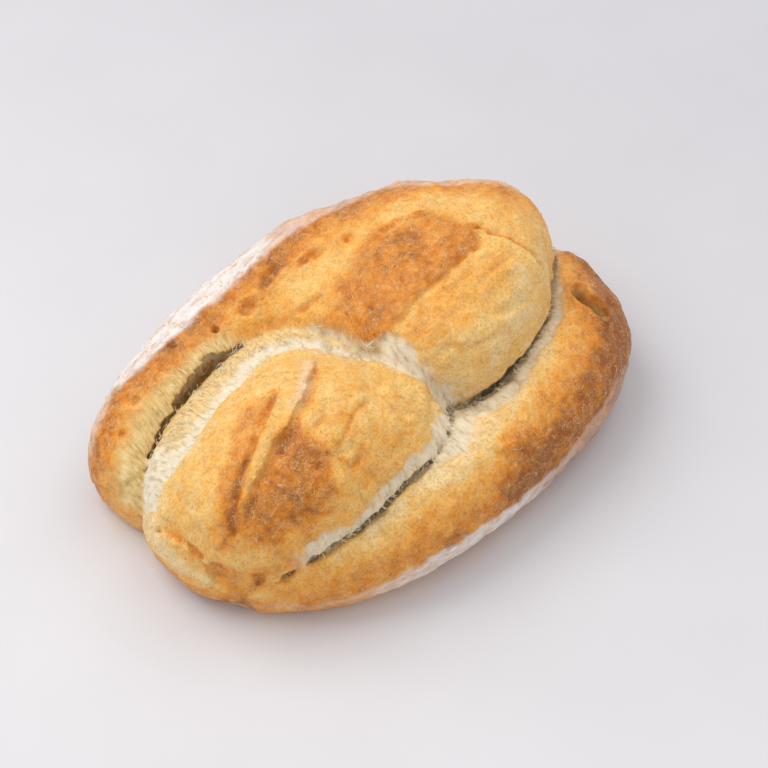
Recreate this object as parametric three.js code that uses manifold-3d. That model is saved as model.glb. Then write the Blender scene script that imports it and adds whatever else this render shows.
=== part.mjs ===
// A hand-shaped oval loaf of white bread that burst open in the oven.
// +X is the loaf's far end, +Y the side of the tall torn rim, +Z up; it rests on z = 0.
import * as THREE from "three";
import Module from "manifold-3d";

// The loaf is one piece of dough. Each swollen part is a rounded swell that follows a short
// path; a station gives [x, y, height of its middle, half width, half height] in millimetres.
// "edge" is how square its cross-section is: 2 is an ellipse, more is fuller at the shoulders.

// Flat heart of the dough that all the other parts grew out of.
const HEART = {
  edge: 2.6,
  stations: [
    [-73, 0, 14, 38, 22],
    [-51, 0, 16, 54, 26],
    [-1, 2, 18, 66, 27],
    [49, 2, 18, 62, 27],
    [77, 2, 18, 42, 25],
  ],
};

// Low sausage-shaped roll along the -Y side.
const SIDE_ROLL = {
  edge: 2.2,
  stations: [
    [-90, -28, 14, 17, 20],
    [-69, -42, 18, 23, 24],
    [-31, -55, 22, 26, 26],
    [14, -59, 23, 26, 27],
    [57, -57, 24, 26, 27],
    [86, -45, 24, 25, 25],
    [97, -24, 24, 23, 23],
  ],
};

// Tall rim along the +Y side, its near end curling in over the tear.
const TALL_RIM = {
  edge: 2.3,
  stations: [
    [-98, 39, 15, 15, 19],
    [-94, 51, 18, 19, 25],
    [-78, 57, 23, 22, 30],
    [-51, 60, 27, 24, 32],
    [-21, 61, 29, 25, 33],
    [22, 56, 33, 26, 37],
    [61, 36, 36, 29, 37],
  ],
};

// Shoulder where the rim and the far dome are still one crust.
const SHOULDER = {
  edge: 2.3,
  stations: [
    [7, 28, 34, 24, 36],
    [49, 24, 40, 34, 42],
  ],
};

// Far dome, the highest part of the loaf.
const FAR_DOME = {
  edge: 3.0,
  stations: [
    [32, -7, 40, 42, 44],
    [56, -3, 40, 39, 45],
    [77, 8, 38, 35, 39],
  ],
};

// Near dome that pushed up through the tear.
const NEAR_DOME = {
  edge: 2.4,
  stations: [
    [-79, -10, 32, 37, 38],
    [-59, -14, 38, 42, 42],
    [-43, -16, 38, 41, 38],
    [-22, -22, 34, 36, 34],
  ],
};

// White crumb that slopes from the near dome's crust down into the tear.
const NEAR_SKIRT = {
  edge: 2.6,
  stations: [
    [-92, 6, 22, 24, 25],
    [-76, 7, 27, 36, 28],
    [-50, 9, 30, 38, 29],
    [-32, 10, 33, 36, 28],
    [-16, 6, 33, 34, 28],
  ],
};

// Lip of crust under the near end of the near dome.
const NEAR_LIP = {
  edge: 2.0,
  stations: [
    [-101, 4, 18, 17, 20],
    [-103, -10, 16, 16, 18],
    [-93, -28, 14, 16, 17],
  ],
};

// Tear that opened between the rim, the far dome and the near dome.
const TEAR = {
  edge: 3.0,
  stations: [
    [-120, 22, 56, 10, 31],
    [-100, 28, 56, 11, 32],
    [-84, 33, 58, 11, 34],
    [-66, 38, 58, 11, 33],
    [-48, 39, 60, 11, 32],
    [-34, 32, 64, 11, 28],
    [-23, 20, 72, 11, 26],
    [-17, 5, 80, 10, 24],
    [-13, -10, 84, 8, 24],
  ],
};

// Crack between the side roll and the two domes: a wedge of air along the crease where they
// meet. A station gives [x, y, height of the crease, half width there].
const CRACK = [
  [-98, -41, 27, 0.5],
  [-75, -53, 39, 1.5],
  [-45, -56.5, 46, 2],
  [-15, -53.5, 49, 2.5],
  [-5, -48.5, 49, 3],
  [5, -43, 48, 3],
  [15, -45.5, 48, 2.5],
  [35, -49, 49, 2.2],
  [55, -44.5, 48, 2.2],
  [75, -37, 47, 2.2],
  [88, -28, 46, 1.5],
  [96, -20, 46, 0.5],
];
const CRACK_DEPTH = 10;
const CRACK_OPENING = 8;

// How softly neighbouring parts run into each other, in millimetres.
const BLEND_RIM_TO_DOME = 16;
const BLEND_SHOULDER = 14;
const BLEND_GROOVE = 6;
const BLEND_CREASE = 5;
const BLEND_TEAR_EDGE = 5;

// Box that the dough is measured in, and the size of its measuring steps.
const MEASURE_FROM = [-134, -91, -17];
const MEASURE_TO = [133, 92, 92];
const MEASURE_STEP = 4.6;
const PATH_PARTS = 4;
const SETTLE_PASSES = 1;
const SETTLE_REACH = 1.2;
const EVEN_OUT_PASSES = 2;
const BASE_BLOCK_DEPTH = 60;

const CRUST_COLOUR = 0xd9a765;

// One value along a smooth curve through four neighbouring station values.
function between(a, b, c, d, t) {
  const linear = (c - a) * t;
  const square = (2 * a - 5 * b + 4 * c - d) * t * t;
  const cube = (3 * b - a - 3 * c + d) * t * t * t;
  return 0.5 * (2 * b + linear + square + cube);
}

// A part's path with extra stations on the smooth curve between the given ones.
function smoothPath(stations) {
  const first = stations[0];
  const last = stations[stations.length - 1];
  const before = first.map((value, k) => 2 * value - stations[1][k]);
  const after = last.map((value, k) => 2 * value - stations[stations.length - 2][k]);
  const all = [before, ...stations, after];
  const path = [];
  for (let i = 1; i < all.length - 2; i += 1) {
    for (let j = 0; j < PATH_PARTS; j += 1) {
      const t = j / PATH_PARTS;
      path.push(all[i].map((value, k) => {
        return between(all[i - 1][k], value, all[i + 1][k], all[i + 2][k], t);
      }));
    }
  }
  path.push(last);
  return path;
}

// Distance from a point to the skin of a part, less than zero inside it.
function distanceTo(part) {
  const path = smoothPath(part.stations);
  const edge = part.edge;
  return (x, y, z) => {
    let nearest = Infinity;
    for (let i = 1; i < path.length; i += 1) {
      const from = path[i - 1];
      const to = path[i];
      const alongX = to[0] - from[0];
      const alongY = to[1] - from[1];
      const lengthSquared = Math.max(alongX * alongX + alongY * alongY, 1e-6);
      const dot = (x - from[0]) * alongX + (y - from[1]) * alongY;
      const t = Math.min(Math.max(dot / lengthSquared, 0), 1);
      const middle = from[2] + (to[2] - from[2]) * t;
      const halfWidth = from[3] + (to[3] - from[3]) * t;
      const halfHeight = from[4] + (to[4] - from[4]) * t;
      const aside = Math.hypot(x - from[0] - alongX * t, y - from[1] - alongY * t);
      const across = aside / halfWidth;
      const upward = Math.abs(z - middle) / halfHeight;
      const ratio = Math.pow(across ** edge + upward ** edge, 1 / edge) + 1e-6;
      const steepAcross = across ** (edge - 1) / halfWidth;
      const steepUpward = upward ** (edge - 1) / halfHeight;
      const steep = Math.hypot(steepAcross, steepUpward) / ratio ** (edge - 1) + 1e-6;
      const deepest = -Math.min(halfWidth, halfHeight);
      nearest = Math.min(nearest, Math.max((ratio - 1) / steep, deepest));
    }
    return nearest;
  };
}

// Two parts grown together, with a soft valley of the given width.
function join(a, b, width) {
  const share = Math.min(Math.max(0.5 + (0.5 * (b - a)) / width, 0), 1);
  return b + (a - b) * share - width * share * (1 - share);
}

// One part with another torn out of it.
function tearOut(a, b, width) {
  return -join(-a, b, width);
}

const heart = distanceTo(HEART);
const sideRoll = distanceTo(SIDE_ROLL);
const tallRim = distanceTo(TALL_RIM);
const shoulder = distanceTo(SHOULDER);
const farDome = distanceTo(FAR_DOME);
const nearDome = distanceTo(NEAR_DOME);
const nearLip = distanceTo(NEAR_LIP);
const nearSkirt = distanceTo(NEAR_SKIRT);
const tear = distanceTo(TEAR);

// The whole loaf: heart and side roll, then rim and far dome, the tear with its skirt of
// crumb, and last the near dome.
function dough(x, y, z) {
  const rimAndDome = join(tallRim(x, y, z), farDome(x, y, z), BLEND_RIM_TO_DOME);
  const upperCrust = join(rimAndDome, shoulder(x, y, z), BLEND_SHOULDER);
  const lower = join(heart(x, y, z), sideRoll(x, y, z), BLEND_GROOVE);
  const whole = join(lower, upperCrust, BLEND_CREASE);
  const torn = tearOut(whole, tear(x, y, z), BLEND_TEAR_EDGE);
  const skirted = join(torn, nearSkirt(x, y, z), BLEND_CREASE);
  const risen = join(skirted, nearDome(x, y, z), BLEND_CREASE);
  return join(risen, nearLip(x, y, z), BLEND_GROOVE);
}

// Grid of measured distances, and the count of grid points along each side.
const counts = MEASURE_FROM.map((from, k) => {
  return Math.ceil((MEASURE_TO[k] - from) / MEASURE_STEP) + 1;
});
const gridIndex = (i, j, k) => (k * counts[1] + j) * counts[0] + i;
const gridPoint = (i, j, k) => [
  MEASURE_FROM[0] + i * MEASURE_STEP,
  MEASURE_FROM[1] + j * MEASURE_STEP,
  MEASURE_FROM[2] + k * MEASURE_STEP,
];

function measure(field) {
  const values = new Float32Array(counts[0] * counts[1] * counts[2]);
  for (let k = 0; k < counts[2]; k += 1) {
    for (let j = 0; j < counts[1]; j += 1) {
      for (let i = 0; i < counts[0]; i += 1) {
        values[gridIndex(i, j, k)] = field(...gridPoint(i, j, k));
      }
    }
  }
  return values;
}

// The corners of a cell, and the pairs of them that its twelve edges join.
const CORNERS = [0, 1, 2, 3, 4, 5, 6, 7].map((n) => [n & 1, (n >> 1) & 1, (n >> 2) & 1]);
const EDGES = [];
for (let a = 0; a < CORNERS.length; a += 1) {
  for (let axis = 0; axis < 3; axis += 1) {
    if (CORNERS[a][axis] === 0) {
      EDGES.push([a, a + (1 << axis)]);
    }
  }
}

// The point in a cell where the skin passes, or null where the cell is all dough or all air.
function skinPoint(values, i, j, k) {
  const corner = CORNERS.map((c) => values[gridIndex(i + c[0], j + c[1], k + c[2])]);
  const sum = [0, 0, 0];
  let crossings = 0;
  for (const [a, b] of EDGES) {
    if (corner[a] < 0 !== corner[b] < 0) {
      const t = corner[a] / (corner[a] - corner[b]);
      for (let axis = 0; axis < 3; axis += 1) {
        sum[axis] += CORNERS[a][axis] + (CORNERS[b][axis] - CORNERS[a][axis]) * t;
      }
      crossings += 1;
    }
  }
  if (crossings === 0) {
    return null;
  }
  const start = gridPoint(i, j, k);
  return sum.map((value, axis) => start[axis] + (value / crossings) * MEASURE_STEP);
}

// Moves a point along the steepest way until it lies on the skin.
function settle(field, point) {
  const small = 0.25;
  let p = point;
  for (let pass = 0; pass < SETTLE_PASSES; pass += 1) {
    const value = field(...p);
    const slope = [0, 1, 2].map((axis) => {
      const high = p.slice();
      const low = p.slice();
      high[axis] += small;
      low[axis] -= small;
      return (field(...high) - field(...low)) / (2 * small);
    });
    const size = Math.max(Math.hypot(...slope), 0.2);
    const move = Math.max(Math.min(value / size, SETTLE_REACH), -SETTLE_REACH);
    p = p.map((coordinate, axis) => coordinate - (move * slope[axis]) / size);
  }
  return p;
}

// Every point moved to the middle of the points it shares a triangle with.
function evenOut(points, triangles) {
  const sums = points.map(() => [0, 0, 0, 0]);
  for (let n = 0; n < triangles.length; n += 3) {
    for (let corner = 0; corner < 3; corner += 1) {
      const sum = sums[triangles[n + corner]];
      const next = points[triangles[n + ((corner + 1) % 3)]];
      sum[0] += next[0];
      sum[1] += next[1];
      sum[2] += next[2];
      sum[3] += 1;
    }
  }
  return sums.map((sum) => [sum[0] / sum[3], sum[1] / sum[3], sum[2] / sum[3]]);
}

// A closed skin of triangles around everywhere that the field is less than zero.
function skin(field) {
  const values = measure(field);
  const vertexAt = new Map();
  const vertices = [];
  for (let k = 0; k < counts[2] - 1; k += 1) {
    for (let j = 0; j < counts[1] - 1; j += 1) {
      for (let i = 0; i < counts[0] - 1; i += 1) {
        const point = skinPoint(values, i, j, k);
        if (point !== null) {
          vertexAt.set(gridIndex(i, j, k), vertices.length);
          vertices.push(point);
        }
      }
    }
  }
  const triangles = [];
  const steps = [[1, 0, 0], [0, 1, 0], [0, 0, 1]];
  for (let k = 1; k < counts[2] - 1; k += 1) {
    for (let j = 1; j < counts[1] - 1; j += 1) {
      for (let i = 1; i < counts[0] - 1; i += 1) {
        const here = values[gridIndex(i, j, k)] < 0;
        for (let axis = 0; axis < 3; axis += 1) {
          const step = steps[axis];
          const there = values[gridIndex(i + step[0], j + step[1], k + step[2])] < 0;
          if (here === there) {
            continue;
          }
          const u = steps[(axis + 1) % 3];
          const v = steps[(axis + 2) % 3];
          const cell = (a, b) => vertexAt.get(
            gridIndex(i - a * u[0] - b * v[0], j - a * u[1] - b * v[1], k - a * u[2] - b * v[2]),
          );
          const ring = [cell(0, 0), cell(1, 0), cell(1, 1), cell(0, 1)];
          if (!here) {
            ring.reverse();
          }
          triangles.push(ring[0], ring[1], ring[2], ring[0], ring[2], ring[3]);
        }
      }
    }
  }
  let settled = vertices.map((point) => settle(field, point));
  for (let pass = 0; pass < EVEN_OUT_PASSES; pass += 1) {
    settled = evenOut(settled, triangles).map((point) => settle(field, point));
  }
  return { vertices: new Float32Array(settled.flat()), triangles: new Uint32Array(triangles) };
}

const wasm = await Module();
wasm.setup();

function solidFrom(vertices, triangles) {
  return new wasm.Manifold(new wasm.Mesh({ numProp: 3, vertProperties: vertices, triVerts: triangles }));
}

// A solid block with eight shared corners that takes away everything under the table's level.
function baseBlock() {
  const reach = [MEASURE_TO[0] + MEASURE_STEP, MEASURE_TO[1] + MEASURE_STEP, BASE_BLOCK_DEPTH];
  const corners = CORNERS.flatMap((c) => [
    reach[0] * (2 * c[0] - 1),
    reach[1] * (2 * c[1] - 1),
    -reach[2] * (1 - c[2]),
  ]);
  const faces = [
    [0, 2, 3], [0, 3, 1], [4, 5, 7], [4, 7, 6], [0, 1, 5], [0, 5, 4],
    [2, 6, 7], [2, 7, 3], [0, 4, 6], [0, 6, 2], [1, 3, 7], [1, 7, 5],
  ];
  return solidFrom(new Float32Array(corners), new Uint32Array(faces.flat()));
}

// A closed band of air along the crack: at each station a four-cornered slice that is widest
// at the top and nearly closed at the bottom.
function crackWedge() {
  const path = smoothPath(CRACK);
  const corners = path.flatMap(([x, y, z, halfWidth], n) => {
    const before = path[Math.max(n - 1, 0)];
    const after = path[Math.min(n + 1, path.length - 1)];
    const length = Math.hypot(after[0] - before[0], after[1] - before[1]);
    const asideX = -(after[1] - before[1]) / length;
    const asideY = (after[0] - before[0]) / length;
    const top = halfWidth * (1 + CRACK_OPENING / CRACK_DEPTH);
    const bottom = 0.1 * halfWidth;
    return [
      x - asideX * top, y - asideY * top, z + CRACK_OPENING,
      x + asideX * top, y + asideY * top, z + CRACK_OPENING,
      x + asideX * bottom, y + asideY * bottom, z - CRACK_DEPTH,
      x - asideX * bottom, y - asideY * bottom, z - CRACK_DEPTH,
    ];
  });
  const end = (path.length - 1) * 4;
  const faces = [0, 1, 2, 0, 2, 3, end, end + 2, end + 1, end, end + 3, end + 2];
  for (let n = 0; n < path.length - 1; n += 1) {
    for (let corner = 0; corner < 4; corner += 1) {
      const a = n * 4 + corner;
      const b = n * 4 + ((corner + 1) % 4);
      faces.push(a, a + 4, b + 4, a, b + 4, b);
    }
  }
  return solidFrom(new Float32Array(corners), new Uint32Array(faces));
}

// The loaf flattened where it lay on the floured peel, and cracked along the roll.
const whole = skin(dough);
const flattened = solidFrom(whole.vertices, whole.triangles).subtract(baseBlock());
const loafSolid = flattened.subtract(crackWedge());
const loafMesh = loafSolid.getMesh();

const geometry = new THREE.BufferGeometry();
const positions = Float32Array.from(loafMesh.vertProperties);
geometry.setAttribute("position", new THREE.BufferAttribute(positions, loafMesh.numProp));
geometry.setIndex(new THREE.BufferAttribute(Uint32Array.from(loafMesh.triVerts), 1));
geometry.computeVertexNormals();

// The middle of the loaf's outline stands over the origin.
geometry.computeBoundingBox();
const outline = geometry.boundingBox;
const middleX = (outline.min.x + outline.max.x) / 2;
const middleY = (outline.min.y + outline.max.y) / 2;
geometry.translate(-middleX, -middleY, 0);

const crust = new THREE.MeshStandardMaterial({ color: CRUST_COLOUR, roughness: 0.75, metalness: 0 });
crust.name = "crust";

const loaf = new THREE.Mesh(geometry, crust);
loaf.name = "loaf";

const group = new THREE.Group();
group.name = "burst_loaf";
group.add(loaf);

export default group;
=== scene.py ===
"""A hand-shaped oval white loaf that burst open in the oven, on a plain pale table."""
import math

import bmesh
import bpy
import numpy as np
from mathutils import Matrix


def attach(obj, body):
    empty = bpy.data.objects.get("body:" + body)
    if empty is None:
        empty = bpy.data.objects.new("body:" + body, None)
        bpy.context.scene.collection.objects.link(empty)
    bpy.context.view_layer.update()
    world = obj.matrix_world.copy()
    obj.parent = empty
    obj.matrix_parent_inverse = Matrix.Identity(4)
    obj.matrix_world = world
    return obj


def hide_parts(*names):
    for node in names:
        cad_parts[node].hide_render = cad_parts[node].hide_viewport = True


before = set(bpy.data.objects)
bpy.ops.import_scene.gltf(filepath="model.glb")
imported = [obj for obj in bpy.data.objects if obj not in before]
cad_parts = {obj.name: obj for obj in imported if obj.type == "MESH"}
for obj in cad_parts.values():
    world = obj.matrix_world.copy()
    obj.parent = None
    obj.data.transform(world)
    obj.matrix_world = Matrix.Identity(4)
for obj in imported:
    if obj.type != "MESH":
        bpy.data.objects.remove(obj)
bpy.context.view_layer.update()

import openvdb
from mathutils import Matrix, Vector

# ---------------------------------------------------------------------------
# The view: the loaf seen from above its near end, with the torn side to the left.
# Directions are in the loaf's own frame, so lights can be placed beside the camera.

VIEW_TURN = math.radians(-46.5)
VIEW_RISE = math.radians(52.0)
VIEW_PLACE = (-0.4912, -0.4756, 0.9076)
SENSOR_WIDTH = 36.0
FOCAL_LENGTH = 118.6

view_back = Vector((math.sin(VIEW_TURN) * math.cos(VIEW_RISE),
                    -math.cos(VIEW_TURN) * math.cos(VIEW_RISE),
                    math.sin(VIEW_RISE)))
view_right = Vector((math.cos(VIEW_TURN), math.sin(VIEW_TURN), 0.0))
view_up = view_back.cross(view_right)

lens = bpy.data.cameras.new("view")
lens.sensor_width = SENSOR_WIDTH
lens.lens = FOCAL_LENGTH
lens.clip_start = 0.05
lens.clip_end = 20.0
camera = bpy.data.objects.new("view", lens)
turn = Matrix((view_right, view_up, view_back)).transposed().to_4x4()
camera.matrix_world = Matrix.Translation(Vector(VIEW_PLACE)) @ turn
bpy.context.scene.collection.objects.link(camera)
bpy.context.scene.camera = camera
bpy.context.scene.view_settings.view_transform = "Standard"
bpy.context.scene.view_settings.look = "None"


# ---------------------------------------------------------------------------
# Studio light: one broad soft lamp high on the left, a weak fill, and a pale room.

def soft_lamp(name, toward, distance, size, watts, tint):
    lamp = bpy.data.lights.new(name, "AREA")
    lamp.shape = "DISK"
    lamp.size = size
    lamp.energy = watts
    lamp.color = tint
    holder = bpy.data.objects.new(name, lamp)
    away = toward.normalized()
    holder.location = away * distance
    holder.rotation_euler = away.to_track_quat("Z", "Y").to_euler()
    bpy.context.scene.collection.objects.link(holder)


flat_up = Vector((-view_back.x, -view_back.y, 0.0)).normalized()
key_side = -0.66 * view_right + 0.30 * flat_up + Vector((0.0, 0.0, 1.1))
fill_side = 0.6 * view_right + 0.5 * flat_up + Vector((0.0, 0.0, 1.2))
soft_lamp("window_lamp", key_side, distance=1.7, size=1.3, watts=13.4, tint=(1.0, 0.985, 0.965))
soft_lamp("fill_lamp", fill_side, distance=1.8, size=1.4, watts=4.2, tint=(0.99, 0.985, 1.0))

room = bpy.data.worlds.new("pale_room")
room.use_nodes = True
room_light = room.node_tree.nodes["Background"]
room_light.inputs["Color"].default_value = (0.96, 0.965, 1.0, 1.0)
room_light.inputs["Strength"].default_value = 0.73
bpy.context.scene.world = room


# ---------------------------------------------------------------------------
# Table: a plain matt pale surface, large enough to fill the view from any side.

TABLE_HALF = 3.0
TABLE_TONES = [(0.3, (0.74, 0.727, 0.737)), (0.7, (0.765, 0.752, 0.762))]
# The far tint is painted shade on the table's far side.
TABLE_FAR_PAINTED_SHADE = (0.82, 0.82, 0.83)

table_mesh = bpy.data.meshes.new("table")
table_mesh.from_pydata([(-TABLE_HALF, -TABLE_HALF, 0.0), (TABLE_HALF, -TABLE_HALF, 0.0),
                        (TABLE_HALF, TABLE_HALF, 0.0), (-TABLE_HALF, TABLE_HALF, 0.0)],
                       [], [(0, 1, 2, 3)])
table = bpy.data.objects.new("table", table_mesh)
bpy.context.scene.collection.objects.link(table)


def node(tree, kind, **settings):
    """A new node; a setting is one of its properties or, failing that, one of its sockets."""
    made = tree.nodes.new(kind)
    for key, value in settings.items():
        if hasattr(made, key):
            setattr(made, key, value)
        else:
            made.inputs[key.replace("_", " ")].default_value = value
    return made


def colour_ramp(tree, stops):
    made = node(tree, "ShaderNodeValToRGB")
    while len(made.color_ramp.elements) < len(stops):
        made.color_ramp.elements.new(0.5)
    for element, (position, colour) in zip(made.color_ramp.elements, stops):
        element.position = position
        element.color = (*colour, 1.0)
    return made


table_paint = bpy.data.materials.new("table_paint")
table_paint.use_nodes = True
table_tree = table_paint.node_tree
table_shader = table_tree.nodes["Principled BSDF"]
table_shader.inputs["Roughness"].default_value = 0.75
table_shader.inputs["Specular IOR Level"].default_value = 0.25
table_place = node(table_tree, "ShaderNodeTexCoord")
table_cloud = node(table_tree, "ShaderNodeTexNoise", Scale=14.0, Detail=6.0)
table_tone = colour_ramp(table_tree, TABLE_TONES)
# The far side of the table is painted a little darker: painted shade, where the light falls off
# across a shallow studio sweep.
table_reach = node(table_tree, "ShaderNodeVectorMath", operation="DOT_PRODUCT")
table_reach.inputs[1].default_value = (flat_up.x + 0.35 * view_right.x,
                                       flat_up.y + 0.35 * view_right.y, 0.0)
table_fade = node(table_tree, "ShaderNodeMapRange", From_Min=-0.16, From_Max=0.26)
table_painted_shade = node(table_tree, "ShaderNodeMix", data_type="RGBA", blend_type="MULTIPLY")
table_painted_shade.inputs["B"].default_value = (*TABLE_FAR_PAINTED_SHADE, 1.0)
join_table = table_tree.links.new
join_table(table_place.outputs["Object"], table_cloud.inputs["Vector"])
join_table(table_cloud.outputs["Fac"], table_tone.inputs["Fac"])
join_table(table_place.outputs["Object"], table_reach.inputs[0])
join_table(table_reach.outputs["Value"], table_fade.inputs["Value"])
join_table(table_fade.outputs["Result"], table_painted_shade.inputs["Factor"])
join_table(table_tone.outputs["Color"], table_painted_shade.inputs["A"])
join_table(table_painted_shade.outputs["Result"], table_shader.inputs["Base Color"])
table_mesh.materials.append(table_paint)


# ---------------------------------------------------------------------------
# The loaf: one piece of white dough, whose swollen parts burst apart as it baked. Its skin
# is measured out on a grid from the distance to each part, and takes the place of the
# plain solid. Everything here is in millimetres until the mesh is made.

MM = 0.001

# A part is how full its shoulders are, and stations (x, y, height of its middle, half
# width, half height) along it.
HEART = (2.6, [(-73, 0, 14, 38, 22), (-51, 0, 16, 54, 26), (-1, 2, 18, 66, 27),
               (49, 2, 18, 62, 27), (77, 2, 18, 42, 25)])
SIDE_ROLL = (2.2, [(-90, -28, 14, 17, 20), (-69, -42, 18, 23, 24), (-31, -55, 22, 26, 26),
                   (14, -59, 23, 26, 27), (57, -57, 24, 26, 27), (86, -45, 24, 25, 25),
                   (97, -24, 24, 23, 23)])
TALL_RIM = (2.3, [(-98, 39, 15, 15, 19), (-94, 51, 18, 19, 25), (-78, 57, 23, 22, 30),
                  (-51, 60, 27, 24, 32), (-21, 61, 29, 25, 33), (22, 56, 33, 26, 37),
                  (61, 36, 36, 29, 37)])
SHOULDER = (2.3, [(7, 28, 34, 24, 36), (49, 24, 40, 34, 42)])
FAR_DOME = (3.0, [(32, -7, 40, 42, 44), (56, -3, 40, 39, 45), (77, 8, 38, 35, 39)])
NEAR_DOME = (2.4, [(-79, -10, 32, 37, 38), (-59, -14, 38, 42, 42), (-43, -16, 38, 41, 38),
                   (-22, -22, 34, 36, 34)])
NEAR_LIP = (2.0, [(-101, 4, 18, 17, 20), (-103, -10, 16, 16, 18), (-93, -28, 14, 16, 17)])
NEAR_SKIRT = (2.6, [(-92, 6, 22, 28, 25), (-76, 7, 27, 38, 28), (-50, 9, 30, 42, 29),
                    (-32, 10, 33, 40, 28), (-16, 6, 33, 34, 28)])
TEAR = (3.0, [(-120, 22, 56, 9, 31), (-100, 27, 56, 9, 32), (-84, 32, 58, 9, 34),
              (-66, 37, 58, 9, 33), (-48, 39, 60, 9, 32), (-34, 32, 64, 9, 28),
              (-23, 21, 72, 9, 26), (-17, 6, 80, 8, 24), (-13, -8, 84, 6, 22)])

# Curve pieces between two stations, and how far the parts flow into each other.
PATH_PARTS = 4
BLEND_RIM_TO_DOME = 16.0
BLEND_SHOULDER = 14.0
BLEND_GROOVE = 3.0
BLEND_CREASE = 6.0
BLEND_TEAR_EDGE = 1.2
BLEND_SKIRT = 1.0
BLEND_CRACK_EDGE = 0.6

# From the loaf's middle to the point that the stations are measured from.
MIDDLE_SHIFT = (0.17, 0.41, 0.0)


def smooth_path(stations):
    """Stations close together on one smooth curve through the given ones."""
    given = np.array(stations, float)
    ends = np.vstack([2 * given[0] - given[1], given, 2 * given[-1] - given[-2]])
    path = []
    for a, b, c, d in zip(ends, ends[1:], ends[2:], ends[3:]):
        for t in np.arange(PATH_PARTS) / PATH_PARTS:
            path.append(0.5 * (2 * b + (c - a) * t + (2 * a - 5 * b + 4 * c - d) * t ** 2
                               + (3 * b - a - 3 * c + d) * t ** 3))
    return np.array(path + [given[-1]], np.float32)


def distance_to(part, p):
    """About how far each point is from the skin of a part, less than zero inside it."""
    edge, stations = part
    path = smooth_path(stations)
    nearest = np.full(len(p), 1e9, np.float32)
    for start, end in zip(path, path[1:]):
        along = end[:2] - start[:2]
        length_squared = max(float(along @ along), 1e-6)
        t = np.clip(((p[:, :2] - start[:2]) @ along) / length_squared, 0.0, 1.0)
        middle, half_width, half_height = (start[k] + (end[k] - start[k]) * t for k in (2, 3, 4))
        across = np.hypot(p[:, 0] - start[0] - along[0] * t,
                          p[:, 1] - start[1] - along[1] * t) / half_width
        upward = np.abs(p[:, 2] - middle) / half_height
        ratio = (across ** edge + upward ** edge) ** (1.0 / edge) + 1e-6
        steep = np.hypot(across ** (edge - 1) / half_width, upward ** (edge - 1) / half_height)
        steep = steep / ratio ** (edge - 1) + 1e-6
        inside = np.maximum((ratio - 1.0) / steep, -np.minimum(half_width, half_height))
        np.minimum(nearest, inside, out=nearest)
    return nearest


def join(a, b, width):
    """The smaller of two distances, with a soft fillet where they meet."""
    share = np.clip(0.5 + 0.5 * (b - a) / width, 0.0, 1.0)
    return b + (a - b) * share - width * share * (1.0 - share)


def rise(low, high, value):
    """From 0 to 1, softly, as the value goes from low to high."""
    t = np.clip((value - low) / (high - low), 0.0, 1.0)
    return t * t * (3.0 - 2.0 * t)


def noise(p, size, seed):
    """Smooth noise from -1 to 1 whose lumps are about `size` mm across."""
    q = p / np.asarray(size, np.float32)
    cell = np.floor(q).astype(np.int64)
    f = q - cell
    f = f * f * (3.0 - 2.0 * f)
    table_of_values = np.random.default_rng(seed).random(8192).astype(np.float32) * 2.0 - 1.0
    total = np.zeros(len(p), np.float32)
    for dx in (0, 1):
        for dy in (0, 1):
            for dz in (0, 1):
                slot = ((cell[:, 0] + dx) * 73856093) ^ ((cell[:, 1] + dy) * 19349663)
                slot ^= (cell[:, 2] + dz) * 83492791
                weight = (f[:, 0] if dx else 1 - f[:, 0]) * (f[:, 1] if dy else 1 - f[:, 1])
                weight = weight * (f[:, 2] if dz else 1 - f[:, 2])
                total += table_of_values[slot & 8191] * weight
    return total


def stroke(points, p):
    """Distance from a line of (x, y) points, positive on its left, and how far along it is."""
    line = np.array(points, np.float32)
    nearest = np.full(len(p), 1e9, np.float32)
    side = np.zeros(len(p), np.float32)
    along = np.zeros(len(p), np.float32)
    for n, (a, b) in enumerate(zip(line, line[1:])):
        d = b - a
        t = np.clip(((p[:, :2] - a) @ d) / (d @ d), 0.0, 1.0)
        gap_x = p[:, 0] - a[0] - d[0] * t
        gap_y = p[:, 1] - a[1] - d[1] * t
        gap = np.hypot(gap_x, gap_y)
        closer = gap < nearest
        nearest = np.where(closer, gap, nearest)
        side = np.where(closer, np.sign(d[0] * gap_y - d[1] * gap_x), side)
        along = np.where(closer, (n + t) / (len(line) - 1), along)
    return nearest * side, along


def spots(p, marks, power=4.0):
    """Sum of oval marks [x, y, half length, half width, turn in degrees, strength]."""
    total = np.zeros(len(p), np.float32)
    for x, y, length, width, turned, strength in marks:
        c, s = math.cos(math.radians(turned)), math.sin(math.radians(turned))
        dx, dy = p[:, 0] - x, p[:, 1] - y
        reach = np.hypot((dx * c + dy * s) / length, (dy * c - dx * s) / width)
        total += strength * np.exp(-reach ** power)
    return total


def within(loop, p):
    """Distance inside a closed loop of (x, y) points, less than zero outside it."""
    inside = np.zeros(len(p), bool)
    for (ax, ay), (bx, by) in zip(loop, loop[1:] + loop[:1]):
        if ay != by:
            edge_x = ax + (p[:, 1] - ay) * (bx - ax) / (by - ay)
            inside ^= ((p[:, 1] < ay) != (p[:, 1] < by)) & (p[:, 0] < edge_x)
    distance = np.abs(stroke(loop + loop[:1], p)[0])
    return np.where(inside, distance, -distance)


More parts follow.
